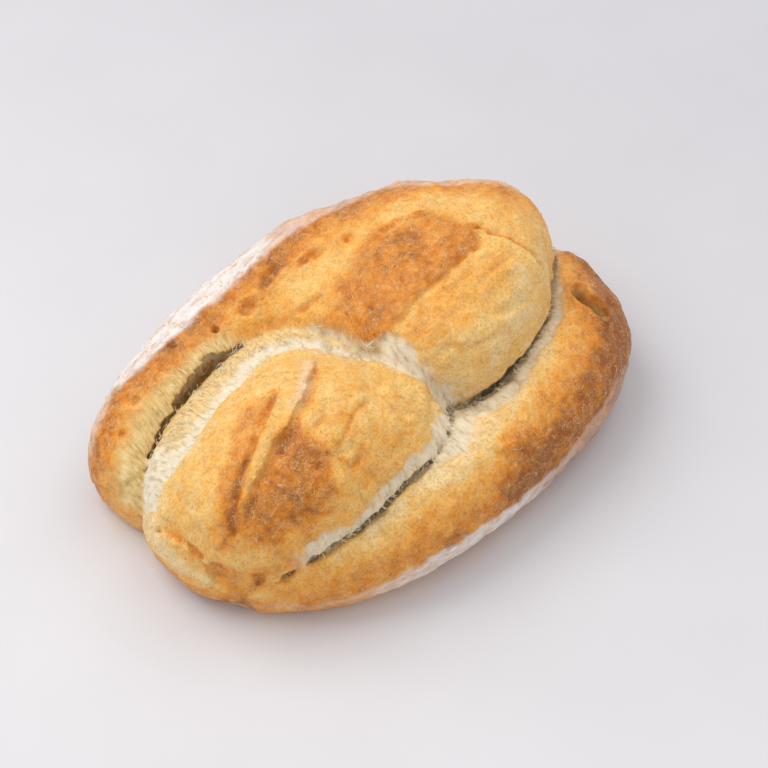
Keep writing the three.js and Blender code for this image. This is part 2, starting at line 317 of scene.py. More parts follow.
# Lines seen from above, as (x, y) points: where the crust of each dome ends, where it
# folded or split as it rose, and the hollow under the roll's crust. A bubble is (x, y,
# half length, half width, turn in degrees, height).
NEAR_CRUST_EDGE = [(-122, 8), (-106, 17), (-94, 15), (-78, 19), (-62, 22), (-45, 26), (-34, 27),
                   (-23, 21), (-18, 14), (-16, 5), (-9, -7), (-5, -20), (-1, -28), (1, -38),
                   (-2, -48), (-12, -54)]
FAR_CRUST_EDGE = [(26, -56), (21, -48), (11, -41), (6, -36), (3, -28), (4, -18), (2, -10),
                  (-3, -6), (-5, 1), (-4, 10), (-7, 20), (-15, 32)]
NEAR_SEAM = [(-108, -28), (-102, -25), (-96, -24), (-88, -22), (-76, -19), (-67, -17), (-58, -14),
             (-51, -12), (-44, -8), (-32, 1)]
NEAR_FOLD = [(-109, -28), (-103, -22), (-93, -16), (-78, -11), (-73, -9), (-58, -1), (-54, 3)]
NEAR_CRACKS = [[(-63, -35), (-58, -40), (-56, -45), (-49, -43), (-45, -41)],
               [(-58, -37), (-50, -35), (-40, -30), (-30, -28)]]
FAR_STEP = [(0, -10), (8, -11), (23, -12), (44, -11), (62, -9), (70, -3)]
FAR_BLISTER_RIDGE = [(34, 33), (38, 32), (41, 28), (47, 25), (52, 22), (57, 18)]
END_CRACK = [(64, -2), (68, -5), (67, -9), (71, -14), (74, -22), (76, -26), (77, -32)]
ROLL_HOLLOW = [(93, -40), (91, -46), (92, -50), (91, -55)]
LIP_CREASE = [(-117, 9), (-115, -5), (-114, -16), (-112, -26), (-108, -33), (-103, -37)]
RIM_BUBBLES = [(-39, 54, 2.0, 2.0, 0, -2.2), (-21, 52, 4.5, 3.0, 0, -2.0),
               (-4, 55, 7.0, 2.6, 10, -1.6), (14, 47, 5.0, 2.6, -20, -1.5),
               (28, 38, 2.6, 2.6, 0, -1.8), (40, 28, 6.5, 3.4, -35, -1.8),
               (-4, 30, 7.0, 1.8, -30, -1.6), (9, 49, 3.0, 2.0, 0, -0.9),
               (-57, 62, 2.2, 2.0, 0, -1.2), (62, 30, 3.0, 2.0, -30, -1.0),
               (-86, 55, 2.0, 2.0, 0, -1.2), (-98, 51, 2.0, 1.6, 0, -1.2)]
ROLL_BUBBLES = [(15, -75, 7.0, 4.0, 10, 1.8), (8, -73, 7.0, 1.6, -30, 1.3),
                (-51, -74, 2.6, 2.0, 0, 1.0), (-28, -77, 3.4, 2.8, 0, 1.1),
                (77, -58, 3.0, 2.0, 0, 0.9), (-76, -12, 2.6, 2.4, 0, 1.0)]


def parts_at(p):
    """Distance from each point to the skin of every part of the dough."""
    q = p + np.array(MIDDLE_SHIFT, np.float32)
    parts = {"heart": distance_to(HEART, q), "roll": distance_to(SIDE_ROLL, q),
             "rim": distance_to(TALL_RIM, q), "shoulder": distance_to(SHOULDER, q),
             "far": distance_to(FAR_DOME, q), "near": distance_to(NEAR_DOME, q),
             "lip": distance_to(NEAR_LIP, q), "tear": distance_to(TEAR, q),
             "skirt": distance_to(NEAR_SKIRT, q)}
    rim_and_dome = join(parts["rim"], parts["far"], BLEND_RIM_TO_DOME)
    parts["upper"] = join(rim_and_dome, parts["shoulder"], BLEND_SHOULDER)
    lower = join(parts["heart"], parts["roll"], BLEND_GROOVE)
    parts["untorn"] = join(lower, parts["upper"], BLEND_CREASE)
    parts["domes"] = np.minimum(parts["upper"], parts["near"])
    return parts


# How far torn crumb reaches down the rim from the tear, and across the roll from the
# crack, as (x, millimetres).
RIM_CRUMB_WIDTH = [(-112, 10), (-92, 10), (-76, 7), (-60, 4), (-40, 3), (-30, 2), (-22, 0)]
ROLL_CRUMB_WIDTH = [(-90, -3), (-26, -1), (-10, 8), (10, 12), (40, 8), (80, 7), (100, 3)]


def along_x(line, p):
    """The value that (x, value) points give at each point."""
    x, value = np.array(line, float).T
    return np.interp(p[:, 0], x, value).astype(np.float32)


def torn_at(p, parts):
    """How much of the skin is torn open, from 0 to 1: (white crumb, tan crumb with painted shade
    under the rim).
    """
    fray = 1.2 * noise(p, 7.0, 51) + 0.9 * noise(p, 3.0, 52)
    upper, roll = parts["upper"], parts["roll"]
    near_side = np.minimum(parts["near"], parts["skirt"])
    on_near = rise(1.0, -1.0, near_side - np.minimum(np.minimum(upper, roll), parts["lip"]))
    on_upper = rise(1.5, -1.5, upper - np.minimum(near_side, roll))
    on_roll = rise(1.5, -1.5, roll - np.minimum(upper, near_side))
    high = rise(16.0, 24.0, p[:, 2])

    # Crumb shows along the torn edge of the rim, widest at its near end.
    band = along_x(RIM_CRUMB_WIDTH, p)
    rim_slope = rise(5.0, -3.0, parts["tear"] + 2.0 * fray - band) * rise(-12.0, -24.0, p[:, 0])
    rim_slope *= on_upper

    # It shows beyond each dome's crust, beside the crack, and wherever the skin lies deep.
    edge = stroke(NEAR_CRUST_EDGE, p)[0]
    off_near = rise(-0.9, 0.9, edge + 0.8 * fray) * (p[:, 0] > -114) * on_near
    off_near *= rise(1.0, 3.0, parts["lip"])
    # Toward the rim the skirt's white gives way to tan: painted shade under the rim's overhang.
    shaded = rise(6.0, 11.0, edge + 1.5 * fray) * rise(-96.0, -84.0, p[:, 0])
    edge = stroke(FAR_CRUST_EDGE, p)[0]
    off_far = rise(-0.8, 0.8, edge + 0.9 * fray) * on_upper * rise(-24.0, -16.0, p[:, 0])
    off_far *= parts["near"] < 24
    near_foot = 0.9 * on_near * rise(9.0, 5.5, roll + 1.6 * fray) * (p[:, 1] < -20)
    near_foot *= rise(-94.0, -84.0, p[:, 0])
    beside = along_x(ROLL_CRUMB_WIDTH, p)
    roll_slope = on_roll * rise(2.0, -2.0, parts["domes"] + 1.5 * fray - beside)
    deep = rise(-1.2, -2.6, parts["untorn"]) * (parts["near"] > -0.6) * (parts["tear"] < 4)
    crack_wall = rise(-0.8, -2.0, np.maximum(roll, parts["domes"]))
    painted_shade_under_rim = off_near * shaded
    white = np.maximum.reduce([off_near * (1.0 - 0.8 * shaded), off_far, near_foot, 0.9 * roll_slope,
                               deep, crack_wall])
    tan = np.maximum(rim_slope, 0.8 * painted_shade_under_rim)
    return np.clip(white * high, 0.0, 1.0), np.clip(tan * high, 0.0, 1.0)


# The crack beside the roll: (x, half width), and how deep it and the rim's seam go.
CRACK_HALF_WIDTH = [(-100, 0.6), (-60, 0.9), (-20, 0.8), (-6, 0.5), (12, 0.6), (40, 0.9), (80, 1.2),
                    (96, 0.9)]
CRACK_DEPTH = 7.0
SEAM_HALF_WIDTH = 0.2
SEAM_DEPTH = 3.0


def loaf_field(p, parts):
    """Less than zero inside the loaf."""
    untorn = parts["untorn"]
    ragged = 1.8 * noise(p, 6.0, 11) + 1.2 * noise(p, 2.6, 12)
    under_crust = rise(1.0, 4.0, -untorn)
    cut = parts["tear"] - 3.2 * under_crust + ragged * (1.0 - 0.6 * under_crust)
    torn_skin = -join(-untorn, cut, BLEND_TEAR_EDGE)
    skirted = join(torn_skin, parts["skirt"], BLEND_SKIRT)
    with_dome = join(skirted, parts["near"], BLEND_CREASE)
    skin = join(with_dome, parts["lip"], BLEND_GROOVE)

    # The crack between the roll and the domes runs deep into the loaf.
    roll, domes = parts["roll"], parts["domes"]
    opening = along_x(CRACK_HALF_WIDTH, p) + 0.8 * noise(p, 6.0, 15) + 0.5 * noise(p, 2.6, 16)
    across = np.abs(roll - domes) / math.sqrt(2.0)
    crack = np.maximum(across - np.maximum(opening, 0.0), -0.5 * (roll + domes) - CRACK_DEPTH)
    crack = np.where((p[:, 2] > 26) & (p[:, 0] > -104) & (p[:, 0] < 104), crack, 5.0)
    skin = -join(-skin, crack, BLEND_CRACK_EDGE)

    # From the tear a narrow seam goes on to the near end, between the skirt and the rim.
    opening = SEAM_HALF_WIDTH + 0.8 * noise(p, 6.0, 17)
    across = np.abs(parts["skirt"] - torn_skin) / math.sqrt(2.0)
    seam = np.maximum(across - opening, -0.5 * (parts["skirt"] + torn_skin) - SEAM_DEPTH)
    seam = np.where((p[:, 2] > 26) & (p[:, 1] > 8) & (p[:, 0] < -60), seam, 5.0)
    skin = -join(-skin, seam, BLEND_CRACK_EDGE)
    return np.maximum(skin - relief_at(p, parts), -p[:, 2])


def creases(p, size, seed, width):
    """Thin winding valleys, -1 at their bottoms and 0 between them."""
    return -np.exp(-(noise(p, size, seed) / width) ** 2)


def ridge(s, middle, width):
    """A rounded ridge, 1 high, that runs beside a line at a distance of `middle`."""
    return np.exp(-((s - middle) / width) ** 2)


def tapered(along, first, last):
    """1 on a line's middle, and down to 0 over a share of it at its first and last end."""
    return rise(0.0, first, along) * (1.0 - rise(1.0 - last, 1.0, along))


# Heights and depths of the relief.
WHITE_CRUMB_DEPTH = 1.2
TAN_CRUMB_DEPTH = 0.6
CRACK_SIDE_HEIGHT = 0.8
FAR_FACE_DEPTH = 1.6
PLATEAU_HEIGHT = 1.9
NEAR_FOLD_DEPTH = 2.0
NEAR_CRACK_DEPTH = 1.3
FAR_STEP_DEPTH = 1.1
BLISTER_HEIGHT = 2.0
END_CRACK_DEPTH = 1.5
ROLL_HOLLOW_DEPTH = 8.0
ROLL_HOLLOW_HALF_WIDTH = 3.6
LIP_CREASE_DEPTH = 1.8
FLAP_HEIGHT = 1.3


def relief_at(p, parts):
    """Height of the crust above the plain dough: bubbles, folds, cracks and frayed crumb."""
    white, tan = torn_at(p, parts)
    crumb = np.maximum(white, tan)
    crusty = 1.0 - crumb
    lumps = 0.8 * noise(p, 26.0, 21) + 0.6 * noise(p, 11.0, 22)
    wrinkles = 0.48 * noise(p, 4.5, 23) + 0.34 * noise(p, 2.6, 24) + 0.5 * creases(p, 7.0, 27, 0.14)
    shaggy = 0.5 * noise(p, (2.8, 7.0, 7.0), 25) + 0.4 * noise(p, 2.6, 26)
    raised = lumps + crusty * wrinkles + crumb * shaggy
    raised -= WHITE_CRUMB_DEPTH * white + TAN_CRUMB_DEPTH * tan
    wobble = 1.1 * noise(p, 6.0, 31) + 0.6 * noise(p, 2.6, 32)
    height = p[:, 2]
    on_near = (parts["near"] < 7) & (height > 30)
    on_far = (parts["far"] < 8) & (height > 40)
    on_roll = (parts["roll"] < 7) & (height > 20)

    # Beside the crack the torn faces stand further out, so that it closes to a line.
    near_crack = rise(9.0, 3.0, np.maximum(parts["roll"], parts["domes"]))
    raised += CRACK_SIDE_HEIGHT * white * near_crack

    # The far dome's crust stands over the white face beside the near dome.
    edge = stroke(FAR_CRUST_EDGE, p)[0]
    raised -= FAR_FACE_DEPTH * white * on_far * rise(-14.0, -8.0, -edge)

    # The near dome: a plateau with a flaky edge, a fold beside it, cracks and soft creases.
    s, along = stroke(NEAR_SEAM, p)
    ends = rise(0.0, 0.12, along) * on_near
    slope = np.where(s + wobble > 0, np.exp(-(s + wobble) / 10.0), -np.exp((s + wobble) / 3.0))
    raised += ends * PLATEAU_HEIGHT * slope
    flaky = ends * rise(0.3, 0.5, along) * np.exp(-((s - 2.0) / 2.2) ** 4)
    raised += flaky * (0.3 + 0.9 * noise(p, 2.0, 33))
    s, along = stroke(NEAR_FOLD, p)
    raised += tapered(along, 0.1, 0.15) * on_near * (
        0.8 * ridge(s + wobble, -3.2, 2.2) - NEAR_FOLD_DEPTH * ridge(s + wobble, 0.0, 1.6))
    for crack in NEAR_CRACKS:
        s = stroke(crack, p)[0]
        raised -= NEAR_CRACK_DEPTH * ridge(s + 0.7 * wobble, 0.0, 1.2) * on_near
    creased = on_near * rise(-12.0, -22.0, p[:, 1]) * rise(-74.0, -58.0, p[:, 0]) * crusty
    raised += creased * (1.5 * creases(p, (9.0, 16.0, 16.0), 37, 0.16)
                         + 0.7 * noise(p, (6.0, 11.0, 11.0), 38))

    # The far dome: a step beside the browned patch, long soft creases, a blister, a split end.
    s, along = stroke(FAR_STEP, p)
    raised -= tapered(along, 0.1, 0.15) * on_far * (
        FAR_STEP_DEPTH * ridge(s + wobble, 0.0, 1.8) + 0.9 * ridge(s, -4.0, 3.5))
    s, along = stroke(FAR_BLISTER_RIDGE, p)
    raised += BLISTER_HEIGHT * ridge(s, 0.0, 1.9) * rise(0.0, 0.1, along) * on_far
    s = stroke(END_CRACK, p)[0]
    raised += on_far * (1.3 * ridge(s, -3.2, 3.0)
                        - END_CRACK_DEPTH * ridge(s + 0.5 * wobble, 0.0, 1.1))
    creased = on_far * (p[:, 1] < -9) * rise(66.0, 58.0, p[:, 0]) * rise(0.0, 8.0, p[:, 0])
    raised += creased * (1.5 * creases(p, (26.0, 7.0, 16.0), 35, 0.16)
                         + 0.8 * noise(p, (12.0, 4.5, 9.0), 36))

    # The roll: a hollow under a raised edge of crust, and bubbles.
    s = stroke(ROLL_HOLLOW, p)[0]
    hollow = rise(ROLL_HOLLOW_HALF_WIDTH, 1.4, np.abs(s) + 0.6 * wobble)
    raised += on_roll * (1.8 * ridge(np.abs(s), 4.4, 1.5) - ROLL_HOLLOW_DEPTH * hollow)
    raised += spots(p, ROLL_BUBBLES) * (height > 26)

    # The lip's crease, the rim's open bubbles, and the flap at the rim's near end.
    s = stroke(LIP_CREASE, p)[0]
    creasy = (parts["lip"] < 8) & (height > 22)
    raised += creasy * (0.8 * ridge(s, -3.5, 2.5)
                        - LIP_CREASE_DEPTH * ridge(s + 0.7 * wobble, 0.0, 1.4))
    around = [(x, y, 1.5 * a, 1.5 * b, turned, -h) for x, y, a, b, turned, h in RIM_BUBBLES]
    pits = 1.3 * spots(p, RIM_BUBBLES)
    rims = 0.5 * (spots(p, around) + pits)
    raised += (pits + rims) * ((height > 40) & (p[:, 1] > 20))
    over_flap = rise(0.0, 1.2, height - 13.0 - 0.88 * (60.0 - p[:, 1]) + wobble)
    raised += FLAP_HEIGHT * over_flap * rise(-92.0, -104.0, p[:, 0]) * (p[:, 1] > 36)
    return raised


# The grid that the skin is found on: its step, its lowest corner and its number of points.
# A grid COARSE times coarser first finds the points that are NEAR_ENOUGH to the skin.
VOXEL = 1.3
COARSE = 3
BOX_LOW = np.array([-125.0, -91.0, -2.6], np.float32)
BOX_COUNT = np.array([194, 142, 73])
NEAR_ENOUGH = 9.0
FARTHEST = 3.0


def measured_grid():
    """The field on every grid point near the skin, and its sign everywhere else."""
    coarse_count = -(-BOX_COUNT // COARSE) + 1
    axes = [BOX_LOW[k] + np.arange(coarse_count[k]) * VOXEL * COARSE for k in range(3)]
    points = np.stack(np.meshgrid(*axes, indexing="ij"), -1).reshape(-1, 3).astype(np.float32)
    rough = loaf_field(points, parts_at(points)).reshape(coarse_count)
    values = rough.repeat(COARSE, 0).repeat(COARSE, 1).repeat(COARSE, 2)
    near_skin = np.abs(values) < NEAR_ENOUGH
    index = np.argwhere(near_skin).astype(np.float32)
    points = BOX_LOW + index * np.float32(VOXEL)
    values[near_skin] = loaf_field(points, parts_at(points))
    return np.clip(values, -FARTHEST, FARTHEST)


BASE_ROUNDING = 0.3

volume = openvdb.FloatGrid(FARTHEST)
volume.copyFromArray(np.ascontiguousarray(measured_grid(), dtype=np.float32))
corners, _, quads = volume.convertToPolygons(isovalue=0.0, adaptivity=0.0)
corners = BOX_LOW + np.asarray(corners) * VOXEL


def outward_faces(points, faces):
    """The same faces, turned so that they all point out of the loaf."""
    a, b, c = points[faces[:, 0]], points[faces[:, 1]], points[faces[:, 2]]
    inward = np.einsum("ij,ij->", a, np.cross(b, c)) < 0
    return faces[:, ::-1] if inward else faces


quads = outward_faces(corners, np.asarray(quads))
corners[corners[:, 2] < BASE_ROUNDING, 2] = 0.0
skin_mesh = bpy.data.meshes.new("loaf_skin")
skin_mesh.from_pydata((corners * MM).tolist(), [], quads.tolist())
skin_mesh.update()

# Crumbs that can't be reached from the base hang free, and are left out. The flat base,
# where the loaf lay on the peel, becomes one face.
skin_faces = bmesh.new()
skin_faces.from_mesh(skin_mesh)
base_faces = [face for face in skin_faces.faces if all(v.co.z < 1e-6 for v in face.verts)]
reached = {base_faces[0].verts[0]}
to_visit = list(reached)
while to_visit:
    corner = to_visit.pop()
    beside = {edge.other_vert(corner) for edge in corner.link_edges} - reached
    reached |= beside
    to_visit.extend(beside)
crumbs = [corner for corner in skin_faces.verts if corner not in reached]
bmesh.ops.delete(skin_faces, geom=crumbs, context="VERTS")
bmesh.ops.dissolve_faces(skin_faces, faces=base_faces, use_verts=True)
bmesh.ops.triangulate(skin_faces, faces=[f for f in skin_faces.faces if len(f.verts) > 4])
skin_faces.to_mesh(skin_mesh)
skin_faces.free()
for face in skin_mesh.polygons:
    face.use_smooth = True
loaf = bpy.data.objects.new("loaf_skin", skin_mesh)
bpy.context.scene.collection.objects.link(loaf)


# ---------------------------------------------------------------------------
# The crust's finish: how brown each place baked, from 0, pale cream, to 1, deep brown, with
# painted shade added in creases, hollows and on sides turned from the lamp; where pale crumb
# is torn open, and where flour from the proving cloth stuck. Each of them is stored on the
# skin's points, and the crust's material reads it.

# Patches seen from above, as loops of (x, y) points, then single marks (x, y, half
# length, half width, turn in degrees, change of browning).
NEAR_BROWN_LEFT = [(-66, 7), (-58, -1), (-73, -9), (-86, -15), (-97, -22), (-109, -30),
                   (-112, -24), (-109, -16), (-98, -8), (-84, -1)]
NEAR_BROWN_RIGHT = [(-60, -17), (-61, -30), (-63, -41), (-68, -48), (-82, -48), (-98, -41),
                    (-108, -33), (-100, -26), (-88, -23), (-75, -20)]
FAR_BROWN = [(-4, 24), (-6, 9), (-5, -8), (8, -11), (23, -12), (44, -11), (60, -9), (66, -2),
             (60, 14), (46, 24), (24, 29), (8, 29)]
FAR_GOLD = [(20, -14), (45, -15), (62, -17), (56, -34), (35, -37), (17, -36), (7, -28), (5, -18)]
ROLL_PALE = [(-34, -62), (-22, -72), (-4, -74), (8, -70), (20, -66), (44, -62), (62, -56),
             (71, -46), (41, -45), (5, -50), (-22, -54)]
MARKS = [(-46, -26, 5, 3, 20, 0.16), (-57, -34, 4, 2.5, 0, 0.14), (-30, -20, 5, 2, 10, 0.16),
         (-48, -9, 12, 3, 35, 0.12), (0, -36, 2.5, 7, -10, 0.16), (-40, -16, 6, 3, 30, -0.2),
         (-24, 10, 10, 7, 0, -0.1), (4, 40, 12, 9, -20, -0.14), (88, 0, 12, 9, 60, 0.12),
         (14, -75, 6, 4, 10, 0.24), (-12, -42, 12, 7, 0, -0.14)]

# Lines seen from above: the roll is browner outside the first, and flour lies behind the
# second. The roll's flour lies below a height, given as (x, height), and each flour has
# its density as (x, share).
ROLL_BROWN_LINE = [(-100, -38), (-90, -47), (-78, -59), (-60, -67), (-43, -70), (-21, -74),
                   (2, -70), (32, -66), (56, -62), (74, -55), (88, -44), (98, -30), (104, -10)]
RIM_FLOUR_LINE = [(-112, 60), (-91, 67), (-74, 66), (-57, 65), (-46, 64), (-28, 65), (-12, 65),
                  (0, 65), (15, 64), (30, 60), (44, 57), (58, 50), (73, 38), (90, 22), (104, 6)]
RIM_FLOUR_DENSITY = [(-115, 0.3), (-95, 0.6), (-80, 1.0), (0, 1.0), (20, 0.5), (60, 0.4),
                     (110, 0.3)]
ROLL_FLOUR_TOP = [(-112, 13), (-94, 14), (-74, 15), (-56, 21), (-38, 26), (-20, 26), (0, 23),
                  (20, 22), (54, 29), (75, 32), (100, 28)]
ROLL_FLOUR_DENSITY = [(-110, 0.1), (-80, 0.3), (-62, 0.7), (-45, 0.95), (5, 0.95), (28, 0.5),
                      (50, 0.3), (100, 0.2)]

# Folds and cracks drawn darker: the blister ridge baked darker, while in the valleys of the
# seam, the fold, the lip's crease and the cracks the darkening is partly painted shade:
# (line, distance beside it, width, how much darker, part).
DARK_FOLDS = [(NEAR_SEAM, -2.2, 1.8, 0.26, "near"), (NEAR_FOLD, -0.3, 2.0, 0.36, "near"),
              (FAR_BLISTER_RIDGE, 0.0, 1.8, 0.26, "far"), (LIP_CREASE, 0.0, 1.1, 0.3, "lip"),
              (END_CRACK, 0.0, 0.9, 0.35, "far"), (NEAR_CRACKS[0], 0.0, 1.0, 0.3, "near"),
              (NEAR_CRACKS[1], 0.0, 1.0, 0.25, "near")]
# How much darker the rim's open bubbles are drawn: painted shade in their hollows.
BUBBLE_PAINTED_SHADE = 0.18

# The browning that each part starts from.
ROLL_BAKE = 0.35
NEAR_BAKE = 0.33
FAR_BAKE = 0.32
LIP_BAKE = 0.06

skin_points = np.empty(len(skin_mesh.vertices) * 3, np.float32)
skin_mesh.vertices.foreach_get("co", skin_points)
skin_points = skin_points.reshape(-1, 3) / MM
parts = parts_at(skin_points)
white, tan = torn_at(skin_points, parts)
height = skin_points[:, 2]
shift_x = 2.5 * noise(skin_points, 9.0, 41) + 1.5 * noise(skin_points, 3.5, 43)
shift_y = 2.5 * noise(skin_points, 9.0, 42) + 1.5 * noise(skin_points, 3.5, 44)
warped = skin_points + np.stack([shift_x, shift_y, 0.0 * height], -1)

near_side = np.minimum(parts["near"], parts["skirt"])
on_lip = rise(2.0, -2.0, parts["lip"] - np.minimum(parts["domes"], parts["roll"]))
on_roll = rise(2.0, -2.0, parts["roll"] - np.minimum(parts["domes"], parts["lip"]))
on_near = rise(2.0, -2.0, near_side - np.minimum(parts["upper"], parts["roll"]))
on_rim = rise(8.0, -8.0, parts["rim"] - parts["far"])

# The roll is pale beside the crack, and browner outward and toward both of its ends. The
# darkest brown, furthest out and low on the side turned from the lamp, is partly painted shade.
outward = -stroke(ROLL_BROWN_LINE, warped)[0]
roll_browning_and_shade = ROLL_BAKE - 0.24 * rise(12.0, 2.0, parts["domes"] + shift_x)
roll_browning_and_shade += 0.26 * rise(-6.0, 5.0, outward) + 0.32 * rise(5.0, 16.0, outward)
roll_browning_and_shade += 0.12 * rise(-60.0, -95.0, skin_points[:, 0])
roll_browning_and_shade += 0.2 * rise(65.0, 95.0, skin_points[:, 0])
roll_browning_and_shade -= 0.22 * rise(-4.0, 4.0, within(ROLL_PALE, warped))

# The near dome is brown on both sides of its seam, and pale along its crust's edge.
near_browning_and_shade = NEAR_BAKE + 0.33 * rise(-3.0, 3.0, within(NEAR_BROWN_LEFT, warped))
near_browning_and_shade += 0.50 * rise(-4.0, 5.0, within(NEAR_BROWN_RIGHT, warped))
# Painted shade: the near dome is a little darker on its side toward the roll, turned from the lamp.
near_browning_and_shade += 0.05 * rise(-34.0, -46.0, skin_points[:, 1])
near_browning_and_shade -= 0.14 * np.exp(-np.maximum(-stroke(NEAR_CRUST_EDGE, warped)[0], 0.0) / 5.0)

# The far dome and the rim share a browned patch that fades out toward the rim, whose
# outer side is browner again.
faded = 2.0 + 5.0 * rise(-6.0, 14.0, skin_points[:, 1])
in_brown = rise(-1.0, 1.0, within(FAR_BROWN, warped) / faded)
far_bake = FAR_BAKE + 0.45 * in_brown + 0.20 * rise(-4.0, 4.0, within(FAR_GOLD, warped))
far_bake += 0.13 * on_rim * (1.0 - in_brown)
from_rim_line = stroke(RIM_FLOUR_LINE, warped)[0]
outer_side = np.maximum(on_rim, rise(-10.0, 20.0, skin_points[:, 0]))
far_bake += 0.40 * outer_side * rise(-20.0, -2.0, from_rim_line)
far_bake -= 0.16 * rise(-8.0, 6.0, -skin_points[:, 1] - 30.0) * (skin_points[:, 0] > 0)

bake = far_bake * (1 - on_near) + near_browning_and_shade * on_near
bake = bake * (1 - on_roll) + roll_browning_and_shade * on_roll
bake = bake * (1 - on_lip) + (LIP_BAKE + 0.62 * rise(24.0, 12.0, height)) * on_lip
bake += spots(warped, MARKS, 2.0) * (height > 24)
# Darker along folds and cracks, partly painted shade in their valleys.
for line, beside, width, change, part in DARK_FOLDS:
    s, along = stroke(line, skin_points)
    bake += change * tapered(along, 0.06, 0.06) * ridge(s, beside, width) * (parts[part] < 6)
# The rim's open bubbles are drawn darker inside: painted shade in their hollows.
painted_bubble_shade = [(*bubble[:5], BUBBLE_PAINTED_SHADE) for bubble in RIM_BUBBLES]
bake += spots(skin_points, painted_bubble_shade) * (height > 40) * on_rim
bake += 0.06 * noise(skin_points, 14.0, 45) + 0.05 * noise(skin_points, 5.0, 46)

# Flour lies in streaks behind the rim and low on the roll, and a little on the seam.
s, along = stroke(NEAR_SEAM, skin_points)
flakes = np.exp(-((s - 2.0) / 2.6) ** 4) * rise(0.6, 0.8, along)
flakes *= (parts["near"] < 6) & (height > 50)
streaky = 1.6 * noise(skin_points, 9.0, 47) + 1.2 * noise(skin_points, 3.0, 48)
behind = rise(-2.0, 2.5, stroke(RIM_FLOUR_LINE, skin_points)[0] + streaky)
behind *= along_x(RIM_FLOUR_DENSITY, skin_points) * (0.6 + 0.4 * rise(5.0, 25.0, height))
below = rise(-1.5, 2.0, along_x(ROLL_FLOUR_TOP, skin_points) - height + streaky)
below *= along_x(ROLL_FLOUR_DENSITY, skin_points) * rise(45.0, 25.0, skin_points[:, 1])
below *= 0.25 + 0.75 * rise(7.0, 13.0, height + streaky)
flour = np.maximum.reduce([behind * (skin_points[:, 1] > 0), below, 0.35 * flakes])
flour *= 1.0 - np.maximum(white, tan)

# The hollow in the roll's far end shows tan crumb.
s = stroke(ROLL_HOLLOW, skin_points)[0]
tan = np.maximum(tan, rise(ROLL_HOLLOW_HALF_WIDTH, 1.8, np.abs(s)) * on_roll)
for name, values in (("bake", bake), ("white", white), ("tan", tan), ("flour", flour)):
    layer = skin_mesh.attributes.new(name, "FLOAT", "POINT")
    layer.data.foreach_set("value", np.clip(values, 0.0, 1.0).astype(np.float32))


CRUST_TONES = [(0.0, (0.93, 0.70, 0.36)), (0.24, (0.93, 0.585, 0.18)),
               (0.48, (0.91, 0.44, 0.078)), (0.74, (0.74, 0.26, 0.026)),
               (1.0, (0.36, 0.11, 0.014))]
WHITE_CRUMB_TONES = [(0.32, (0.62, 0.50, 0.31)), (0.46, (0.82, 0.70, 0.49)),
                     (0.7, (0.89, 0.81, 0.64))]
# The tan tones serve both torn crumb and the painted shade on the skirt under the rim.
TAN_CRUMB_AND_PAINTED_SHADE_TONES = [(0.32, (0.60, 0.40, 0.15)), (0.48, (0.82, 0.58, 0.24)),
                   (0.7, (0.92, 0.74, 0.38))]
FLECK_TINT = (0.78, 0.68, 0.56)
# The curls' tone is pale dough with a painted highlight on it.
CURL_TONE_WITH_PAINTED_HIGHLIGHT = (0.96, 0.76, 0.42)
# The pores' tone is painted shade in the small holes.
PORE_PAINTED_SHADE_TONE = (0.45, 0.17, 0.03)
FLOUR_TONE = (0.86, 0.79, 0.74)
CRUST_ROUGHNESS = 0.44
CRUMB_ROUGHNESS = 0.92
BUMP_HEIGHT = 0.22 * MM

crust = bpy.data.materials.new("baked_crust")
crust.use_nodes = True
tree = crust.node_tree
link = tree.links.new
shader = tree.nodes["Principled BSDF"]
place = node(tree, "ShaderNodeTexCoord")


def reading(name):
    """What is stored on the skin under this name."""
    return node(tree, "ShaderNodeAttribute", attribute_name=name).outputs["Fac"]


def grain(size_mm, detail=4.0, stretch=(1.0, 1.0, 1.0), distortion=0.0):
    """Noise from 0 to 1 whose lumps are about this large."""
    mapping = node(tree, "ShaderNodeMapping")
    mapping.inputs["Scale"].default_value = stretch
    link(place.outputs["Object"], mapping.inputs["Vector"])
    made = node(tree, "ShaderNodeTexNoise", Scale=1.0 / (size_mm * MM), Detail=detail,
                Distortion=distortion)
    link(mapping.outputs["Vector"], made.inputs["Vector"])
    return made.outputs["Fac"]


def math_of(operation, a, b, c=None, clamp=False):
    made = node(tree, "ShaderNodeMath", operation=operation, use_clamp=clamp)
    for socket, value in zip(made.inputs, (a, b, c)):
        if isinstance(value, (int, float)):
            socket.default_value = value
        elif value is not None:
            link(value, socket)
    return made.outputs[0]


def between(value, low, high):
    """From 0 to 1 as the value goes from low to high."""
    made = node(tree, "ShaderNodeMapRange", From_Min=low, From_Max=high)
    link(value, made.inputs["Value"])
    return made.outputs["Result"]


def ramp(value, stops):
    made = colour_ramp(tree, stops)
    link(value, made.inputs["Fac"])
    return made.outputs["Color"]


def mixed(amount, a, b):
    made = node(tree, "ShaderNodeMix", data_type="RGBA")
    link(amount, made.inputs["Factor"])
    link(a, made.inputs["A"])
    if isinstance(b, tuple):
        made.inputs["B"].default_value = (*b, 1.0)
    else:
        link(b, made.inputs["B"])
    return made.outputs["Result"]


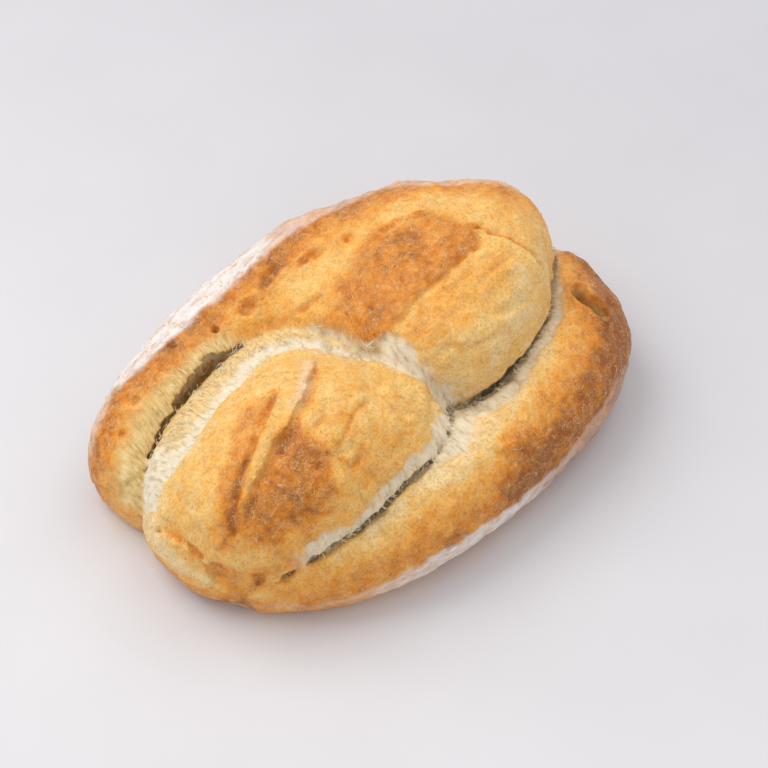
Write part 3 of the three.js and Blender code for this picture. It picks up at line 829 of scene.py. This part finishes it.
# Browning, with painted shade added into it, runs from pale cream through gold to deep brown, softly
# mottled.
mottle = math_of("MULTIPLY_ADD", grain(9.0, 3.0), 0.5, -0.25)
fine_mottle = math_of("MULTIPLY_ADD", between(grain(3.2, 4.0), 0.36, 0.64), 0.16, -0.08)
browning_with_shade = math_of("ADD", math_of("ADD", reading("bake"), mottle), fine_mottle, clamp=True)
crust_colour = ramp(browning_with_shade, CRUST_TONES)
flecks = math_of("MULTIPLY", between(grain(1.1, 4.0), 0.54, 0.38), 0.75)
flecked = node(tree, "ShaderNodeMix", data_type="RGBA", blend_type="MULTIPLY")
flecked.inputs["B"].default_value = (*FLECK_TINT, 1.0)
link(flecks, flecked.inputs["Factor"])
link(crust_colour, flecked.inputs["A"])


def curly_lines(size_mm, width):
    """Fine squiggles where a strand of dough dried on the crust, pale dough that also carries a
    painted highlight.
    """
    off_line = math_of("ABSOLUTE", math_of("SUBTRACT", grain(size_mm, 1.0, distortion=1.6), 0.5), 0.0)
    return between(off_line, width, 0.0)


curls = math_of("MAXIMUM", curly_lines(3.0, 0.035), curly_lines(2.0, 0.045))
curls = math_of("MULTIPLY", curls, between(grain(5.0, 2.0), 0.42, 0.56))
# The curls are drawn lighter: pale dried dough, and partly a painted highlight on the strands.
curls_with_painted_highlight = mixed(math_of("MULTIPLY", curls, 0.4), flecked.outputs["Result"], CURL_TONE_WITH_PAINTED_HIGHLIGHT)
# Pores: small holes drawn dark brown, painted shade inside them.
pores = node(tree, "ShaderNodeTexVoronoi", Scale=1.0 / (5.0 * MM))
link(place.outputs["Object"], pores.inputs["Vector"])
pits = math_of("MULTIPLY", between(pores.outputs["Distance"], 0.12, 0.06),
               between(grain(9.0, 2.0), 0.48, 0.56))
with_painted_pore_shade = mixed(math_of("MULTIPLY", pits, 0.6), curls_with_painted_highlight, PORE_PAINTED_SHADE_TONE)

fibres = grain(1.3, 5.0, (1.0, 0.25, 0.3))
with_white = mixed(reading("white"), with_painted_pore_shade, ramp(fibres, WHITE_CRUMB_TONES))
# Tan: crumb on the rim's slope, and painted shade on the skirt under the rim.
with_tan_crumb_and_shade = mixed(reading("tan"), with_white, ramp(fibres, TAN_CRUMB_AND_PAINTED_SHADE_TONES))
streaks = between(grain(3.0, 6.0, (0.3, 1.0, 1.0)), 0.34, 0.56)
flour_cover = math_of("MULTIPLY", reading("flour"), math_of("MULTIPLY_ADD", streaks, 0.55, 0.55),
                      clamp=True)
link(mixed(flour_cover, with_tan_crumb_and_shade, FLOUR_TONE), shader.inputs["Base Color"])
dull = math_of("MAXIMUM", math_of("MAXIMUM", reading("white"), reading("tan")), flour_cover)
rough = ramp(dull, [(0.0, (CRUST_ROUGHNESS,) * 3), (1.0, (CRUMB_ROUGHNESS,) * 3)])
link(rough, shader.inputs["Roughness"])
shader.inputs["Specular IOR Level"].default_value = 0.26
shader.inputs["Subsurface Weight"].default_value = 0.06
shader.inputs["Subsurface Radius"].default_value = (1.0, 0.55, 0.3)
shader.inputs["Subsurface Scale"].default_value = 3.0 * MM

# Only the finest grain, curls and pores are bump; the rest of the relief is in the mesh.
crisp = math_of("MULTIPLY_ADD", grain(0.9, 5.0), 0.9, grain(3.0, 3.0))
crisp = math_of("ADD", crisp, math_of("MULTIPLY", curls, 0.4))
crisp = math_of("SUBTRACT", crisp, math_of("MULTIPLY", pits, 0.8))
bump = node(tree, "ShaderNodeBump", Strength=1.0, Distance=BUMP_HEIGHT)
link(crisp, bump.inputs["Height"])
link(bump.outputs["Normal"], shader.inputs["Normal"])
skin_mesh.materials.append(crust)

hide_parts("loaf")
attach(loaf, "root")


# ---------------------------------------------------------------------------
# Dried strands: thin threads of dough that were stretched as the loaf burst. They stand
# like a comb across the tear and the crack, and lie as small curls baked onto the crust.

# The crack's bottom and the tear's, seen from above: threads reach toward the nearer one.
CREASE_LINE = [(-98, -41), (-75, -53), (-45, -56), (-15, -53), (5, -43), (35, -49), (55, -44),
               (75, -37), (88, -28), (96, -20)]
TEAR_LINE = [station[:2] for station in TEAR[1]]


def thread_paint(name, darker, lighter):
    """Dried dough whose tone drifts from thread to thread."""
    made = bpy.data.materials.new(name)
    made.use_nodes = True
    nodes, join_up = made.node_tree.nodes, made.node_tree.links.new
    spot = nodes.new("ShaderNodeTexCoord")
    drift = node(made.node_tree, "ShaderNodeTexNoise", Scale=1.0 / (4.0 * MM), Detail=3.0)
    tone = colour_ramp(made.node_tree, [(0.35, darker), (0.65, lighter)])
    join_up(spot.outputs["Object"], drift.inputs["Vector"])
    join_up(drift.outputs["Fac"], tone.inputs["Fac"])
    join_up(tone.outputs["Color"], nodes["Principled BSDF"].inputs["Base Color"])
    nodes["Principled BSDF"].inputs["Roughness"].default_value = 0.6
    nodes["Principled BSDF"].inputs["Specular IOR Level"].default_value = 0.3
    return made


def strand_tree(name):
    """Geometry nodes that scatter bent threads over a mesh: many where the layer is high,
    each lying along the way stored on the mesh and then turned by chance."""
    made = bpy.data.node_groups.new(name, "GeometryNodeTree")
    kinds = {"Geometry": "NodeSocketGeometry", "Layer": "NodeSocketString",
             "Density": "NodeSocketFloat", "Length": "NodeSocketFloat",
             "Thickness": "NodeSocketFloat", "Arch": "NodeSocketVector",
             "Least Turn": "NodeSocketVector", "Most Turn": "NodeSocketVector",
             "Seed": "NodeSocketInt", "Paint": "NodeSocketMaterial"}
    for label, kind in kinds.items():
        made.interface.new_socket(label, in_out="INPUT", socket_type=kind)
    made.interface.new_socket("Geometry", in_out="OUTPUT", socket_type="NodeSocketGeometry")
    join_up = made.links.new
    given = made.nodes.new("NodeGroupInput").outputs

    layer = node(made, "GeometryNodeInputNamedAttribute", data_type="FLOAT")
    join_up(given["Layer"], layer.inputs["Name"])
    per_area = node(made, "ShaderNodeMath", operation="MULTIPLY")
    join_up(layer.outputs["Attribute"], per_area.inputs[0])
    join_up(given["Density"], per_area.inputs[1])
    scatter = node(made, "GeometryNodeDistributePointsOnFaces", distribute_method="RANDOM")
    join_up(given["Geometry"], scatter.inputs["Mesh"])
    join_up(per_area.outputs[0], scatter.inputs["Density"])
    join_up(given["Seed"], scatter.inputs["Seed"])

    thread = node(made, "GeometryNodeCurveQuadraticBezier", Resolution=5)
    thread.inputs["Start"].default_value = (0.0, 0.0, 0.0)
    thread.inputs["End"].default_value = (1.0, 0.0, 0.0)
    join_up(given["Arch"], thread.inputs["Middle"])
    along = node(made, "GeometryNodeSplineParameter")
    taper = node(made, "ShaderNodeMapRange", To_Min=1.0, To_Max=0.35)
    join_up(along.outputs["Factor"], taper.inputs["Value"])
    thinned = node(made, "GeometryNodeSetCurveRadius")
    join_up(thread.outputs["Curve"], thinned.inputs["Curve"])
    join_up(taper.outputs["Result"], thinned.inputs["Radius"])
    ring = node(made, "GeometryNodeCurvePrimitiveCircle", Resolution=3)
    join_up(given["Thickness"], ring.inputs["Radius"])
    tube = node(made, "GeometryNodeCurveToMesh", Fill_Caps=True)
    join_up(thinned.outputs["Curve"], tube.inputs["Curve"])
    join_up(ring.outputs["Curve"], tube.inputs["Profile Curve"])

    way = node(made, "GeometryNodeInputNamedAttribute", data_type="FLOAT_VECTOR")
    way.inputs["Name"].default_value = "way"
    aligned = node(made, "FunctionNodeAlignRotationToVector", axis="X", pivot_axis="Z")
    join_up(scatter.outputs["Rotation"], aligned.inputs["Rotation"])
    join_up(way.outputs["Attribute"], aligned.inputs["Vector"])
    chance = node(made, "FunctionNodeRandomValue", data_type="FLOAT_VECTOR")
    join_up(given["Least Turn"], chance.inputs[0])
    join_up(given["Most Turn"], chance.inputs[1])
    join_up(given["Seed"], chance.inputs["Seed"])
    chance_turn = node(made, "FunctionNodeEulerToRotation")
    join_up(chance.outputs[0], chance_turn.inputs["Euler"])
    turned = node(made, "FunctionNodeRotateRotation", rotation_space="LOCAL")
    join_up(aligned.outputs["Rotation"], turned.inputs["Rotation"])
    join_up(chance_turn.outputs[0], turned.inputs["Rotate By"])
    share = node(made, "FunctionNodeRandomValue", data_type="FLOAT")
    share.inputs[2].default_value = 0.4
    share.inputs[3].default_value = 1.2
    join_up(given["Seed"], share.inputs["Seed"])
    length = node(made, "ShaderNodeMath", operation="MULTIPLY")
    join_up(share.outputs[1], length.inputs[0])
    join_up(given["Length"], length.inputs[1])

    placed = node(made, "GeometryNodeInstanceOnPoints")
    join_up(scatter.outputs["Points"], placed.inputs["Points"])
    join_up(tube.outputs["Mesh"], placed.inputs["Instance"])
    join_up(turned.outputs[0], placed.inputs["Rotation"])
    join_up(length.outputs[0], placed.inputs["Scale"])
    solid = node(made, "GeometryNodeRealizeInstances")
    join_up(placed.outputs["Instances"], solid.inputs["Geometry"])
    painted = node(made, "GeometryNodeSetMaterial")
    join_up(solid.outputs["Geometry"], painted.inputs["Geometry"])
    join_up(given["Paint"], painted.inputs["Material"])
    join_up(painted.outputs["Geometry"], made.nodes.new("NodeGroupOutput").inputs["Geometry"])
    return made


def strands(name, **values):
    """Threads grown on the loaf's skin; their thickness is a share of their length."""
    grown = bpy.data.objects.new(name, skin_mesh.copy())
    bpy.context.scene.collection.objects.link(grown)
    growth = grown.modifiers.new("growth", "NODES")
    growth.node_group = strand_tree(name)
    for item in growth.node_group.interface.items_tree:
        key = item.name.replace(" ", "_").lower()
        if item.in_out == "INPUT" and key in values:
            growth[item.identifier] = values[key]
    evaluated = grown.evaluated_get(bpy.context.evaluated_depsgraph_get())
    grown_mesh = bpy.data.meshes.new_from_object(evaluated)
    grown.modifiers.clear()
    grown.data = grown_mesh
    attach(grown, "root")


def toward(line, p):
    """Level direction from each point to the nearest place on a line, and how far it is."""
    step = 0.5
    here, in_x, in_y = (np.abs(stroke(line, p + np.array(move, np.float32))[0])
                        for move in ((0, 0, 0), (step, 0, 0), (0, step, 0)))
    return np.stack([here - in_x, here - in_y, 0.0 * here], -1) / step, here


to_tear, from_tear = toward(TEAR_LINE, skin_points)
to_crease, from_crease = toward(CREASE_LINE, skin_points)
way = np.where((from_tear < from_crease)[:, None], to_tear, to_crease)
crumb = np.maximum(white, tan)
torn_edge = 4.0 * crumb * (1.0 - crumb) * rise(16.0, 10.0, from_tear)
crack_side = crumb * rise(6.0, 2.0, np.maximum(parts["roll"], parts["domes"]))
comb = np.maximum(0.7 * torn_edge, 0.45 * crack_side) * rise(24.0, 32.0, height)
in_patches = 0.3 + 0.7 * rise(-0.3, 0.4, noise(skin_points, 14.0, 61))
curly = (1.0 - crumb) * rise(10.0, 25.0, height) * in_patches
for name, values in (("comb", comb), ("curly", curly)):
    layer = skin_mesh.attributes.new(name, "FLOAT", "POINT")
    layer.data.foreach_set("value", np.clip(values, 0.0, 1.0).astype(np.float32))
layer = skin_mesh.attributes.new("way", "FLOAT_VECTOR", "POINT")
layer.data.foreach_set("vector", way.astype(np.float32).ravel())

strands("torn_fibres", layer="comb", density=700000.0, length=3.4 * MM, thickness=0.042,
        arch=(0.5, 0.0, 0.2), least_turn=(-0.3, -0.7, -0.7), most_turn=(0.3, 0.0, 0.7), seed=3,
        paint=thread_paint("dried_crumb", (0.92, 0.78, 0.50), (0.97, 0.91, 0.74)))
strands("crust_curls", layer="curly", density=110000.0, length=2.3 * MM, thickness=0.045,
        arch=(0.5, 0.55, 0.1), least_turn=(0.0, -0.15, -3.14), most_turn=(0.0, 0.1, 3.14), seed=7,
        paint=thread_paint("curled_crust", (0.92, 0.50, 0.13), (0.96, 0.66, 0.28)))
